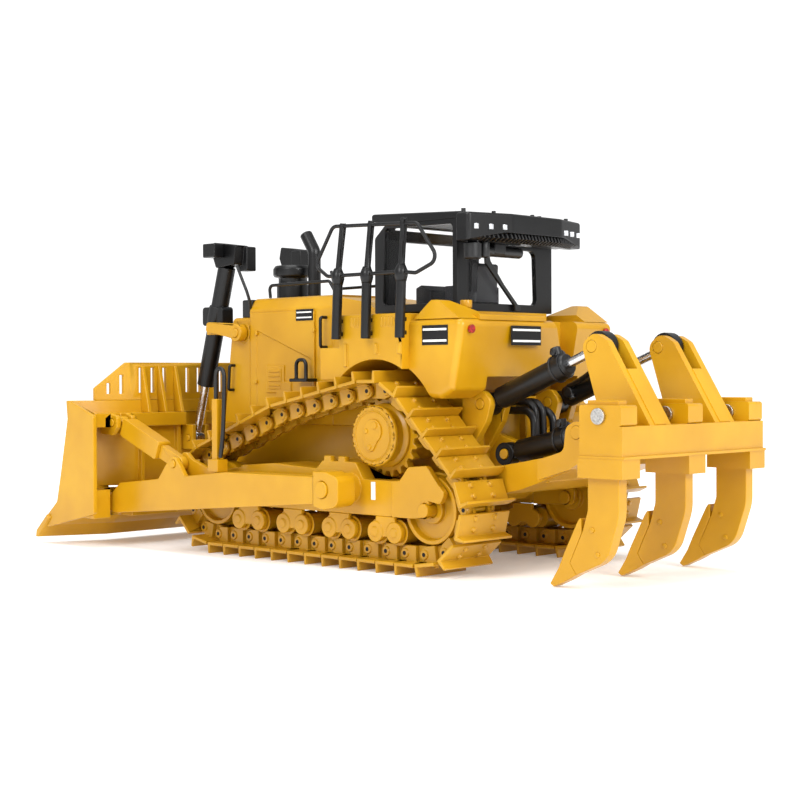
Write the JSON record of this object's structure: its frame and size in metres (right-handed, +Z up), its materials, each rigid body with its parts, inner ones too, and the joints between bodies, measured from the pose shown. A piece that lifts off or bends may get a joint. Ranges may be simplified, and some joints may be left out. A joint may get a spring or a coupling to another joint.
{
  "type": "toy bulldozer",
  "caption": "Scale model of a track-type tractor with raised drive sprockets, a wide front blade on push arms, a black cab and a rear ripper with curved shanks.",
  "frame": {"origin": "on the ground, at the middle of the bounding box of the whole toy", "axes": "+X towards the blade, +Y to the left side of the machine, +Z up"},
  "size_m": [0.1492, 0.08, 0.0695],
  "materials": {
    "black_paint": "satin black",
    "black_plastic": "moulded, semi-gloss",
    "bright_steel": "polished",
    "clear_glazing": "clear",
    "red_lens": "glossy",
    "seat_plastic": "matt",
    "steel_pin": "satin",
    "track_yellow": "satin enamel",
    "yellow_paint": "satin enamel"
  },
  "bodies": {
    "chassis": {"main_frame": "yellow_paint", "radiator_guard": "yellow_paint", "radiator_grille": "black_plastic", "hood": "yellow_paint", "engine_doors": "yellow_paint", "cowl": "yellow_paint", "fenders": "yellow_paint", "fuel_tank": "yellow_paint", "exhaust_stack": "black_paint", "precleaner": "black_paint", "cab_frame": "black_paint", "cab_windows": "clear_glazing", "cab_roof": "black_paint", "rear_canopy": "black_paint", "cab_interior": "seat_plastic", "rear_lamps_and_wiper": "black_plastic", "fuel_cap": "yellow_paint", "left_handrail": "black_paint", "grab_rails_and_steps": "black_paint", "track_frame_left": "yellow_paint", "track_frame_right": "yellow_paint", "bogies": "yellow_paint", "track_rollers": "yellow_paint", "shafts_and_equalizer": "yellow_paint", "track_links_left": "track_yellow", "track_links_right": "track_yellow", "track_pins": "yellow_paint", "ripper_bracket": "yellow_paint", "bracket_pins": "yellow_paint", "reflectors": "red_lens", "rear_hoses": "black_plastic"},
    "left_sprocket": {"sprocket_left": "yellow_paint"},
    "right_sprocket": {"sprocket_right": "yellow_paint"},
    "left_front_idler": {"front_idler_left": "yellow_paint"},
    "right_front_idler": {"front_idler_right": "yellow_paint"},
    "left_rear_idler": {"rear_idler_left": "yellow_paint"},
    "right_rear_idler": {"rear_idler_right": "yellow_paint"},
    "blade_assembly": {"blade": "yellow_paint", "spill_guard": "yellow_paint", "guard_ribs": "yellow_paint", "cutting_edge": "yellow_paint", "push_arms": "yellow_paint", "blade_braces": "yellow_paint", "hose_post": "yellow_paint", "blade_pins": "yellow_paint"},
    "lift_cylinders": {"lift_barrels": "black_paint", "cylinder_lamps": "black_paint", "lift_yokes": "yellow_paint"},
    "lift_cylinder_rods": {"lift_rods": "bright_steel"},
    "ripper_linkage": {"ripper_link": "yellow_paint"},
    "ripper_head": {"ripper_beam": "yellow_paint", "ripper_shanks": "yellow_paint", "ripper_tips": "yellow_paint", "shank_pins": "steel_pin", "tower_pins": "yellow_paint", "beam_pins": "yellow_paint"},
    "tilt_cylinders": {"tilt_barrels": "black_paint", "tilt_rods": "bright_steel"},
    "ripper_lift_cylinders": {"ripper_lift_barrels": "black_paint"},
    "ripper_lift_cylinder_rods": {"ripper_lift_rods": "bright_steel"}
  },
  "joints": [
    {"name": "left_sprocket_spin", "type": "hinge", "parent": "chassis", "child": "left_sprocket", "pos_m": [-0.01841, 0.0208, 0.0258], "axis": [0, 1, 0], "continuous": true},
    {"name": "left_front_idler_spin", "type": "hinge", "parent": "chassis", "child": "left_front_idler", "pos_m": [0.02989, 0.0208, 0.0123], "axis": [0, 1, 0], "continuous": true},
    {"name": "left_rear_idler_spin", "type": "hinge", "parent": "chassis", "child": "left_rear_idler", "pos_m": [-0.03211, 0.0208, 0.0123], "axis": [0, 1, 0], "continuous": true},
    {"name": "right_sprocket_spin", "type": "hinge", "parent": "chassis", "child": "right_sprocket", "pos_m": [-0.01841, -0.0208, 0.0258], "axis": [0, 1, 0], "continuous": true},
    {"name": "right_front_idler_spin", "type": "hinge", "parent": "chassis", "child": "right_front_idler", "pos_m": [0.02989, -0.0208, 0.0123], "axis": [0, 1, 0], "continuous": true},
    {"name": "right_rear_idler_spin", "type": "hinge", "parent": "chassis", "child": "right_rear_idler", "pos_m": [-0.03211, -0.0208, 0.0123], "axis": [0, 1, 0], "continuous": true},
    {"name": "blade_lift", "type": "hinge", "parent": "chassis", "child": "blade_assembly", "pos_m": [-0.01221, 0, 0.0156], "axis": [0, -1, 0], "range_deg": [-0.8, 8]},
    {"name": "lift_cylinder_swing", "type": "hinge", "parent": "chassis", "child": "lift_cylinders", "pos_m": [0.03519, 0, 0.0467], "axis": [0, 1, 0], "range_deg": [-3, 0.32]},
    {"name": "lift_cylinder_stroke", "type": "slide", "parent": "lift_cylinders", "child": "lift_cylinder_rods", "axis": [0.2818, 0, -0.9595], "range_m": [-0.00869, 0.00089]},
    {"name": "ripper_lift", "type": "hinge", "parent": "chassis", "child": "ripper_linkage", "pos_m": [-0.03251, 0, 0.0165], "axis": [0, 1, 0], "range_deg": [-0.2, 18]},
    {"name": "ripper_head_level", "type": "hinge", "parent": "ripper_linkage", "child": "ripper_head", "pos_m": [-0.05891, 0, 0.027], "axis": [0, 1, 0], "range_deg": [-18.02, 0.22]},
    {"name": "tilt_cylinder_swing", "type": "hinge", "parent": "chassis", "child": "tilt_cylinders", "pos_m": [-0.03461, 0, 0.0318], "axis": [0, 1, 0], "range_deg": [-0.22, 18.02]},
    {"name": "ripper_lift_cylinder_swing", "type": "hinge", "parent": "chassis", "child": "ripper_lift_cylinders", "pos_m": [-0.03771, 0, 0.0223], "axis": [0, 1, 0], "range_deg": [-0.28, 23.87]},
    {"name": "ripper_lift_cylinder_stroke", "type": "slide", "parent": "ripper_lift_cylinders", "child": "ripper_lift_cylinder_rods", "axis": [-0.9763, 0, 0.2164], "range_m": [-0.00108, 0.00003]}
  ],
  "couplings": [
    {"joint": "left_front_idler_spin", "follows": "left_sprocket_spin", "ratio": 1.051},
    {"joint": "left_rear_idler_spin", "follows": "left_sprocket_spin", "ratio": 1.051},
    {"joint": "right_front_idler_spin", "follows": "right_sprocket_spin", "ratio": 1.051},
    {"joint": "right_rear_idler_spin", "follows": "right_sprocket_spin", "ratio": 1.051},
    {"joint": "lift_cylinder_swing", "follows": "blade_lift", "ratio": -0.373},
    {"joint": "lift_cylinder_stroke", "follows": "blade_lift", "m_per_rad": -0.062058},
    {"joint": "ripper_head_level", "follows": "ripper_lift", "ratio": -1},
    {"joint": "tilt_cylinder_swing", "follows": "ripper_lift", "ratio": 1},
    {"joint": "ripper_lift_cylinder_swing", "follows": "ripper_lift", "ratio": 1.3251},
    {"joint": "ripper_lift_cylinder_stroke", "follows": "ripper_lift", "m_per_rad": -0.0033609}
  ]
}
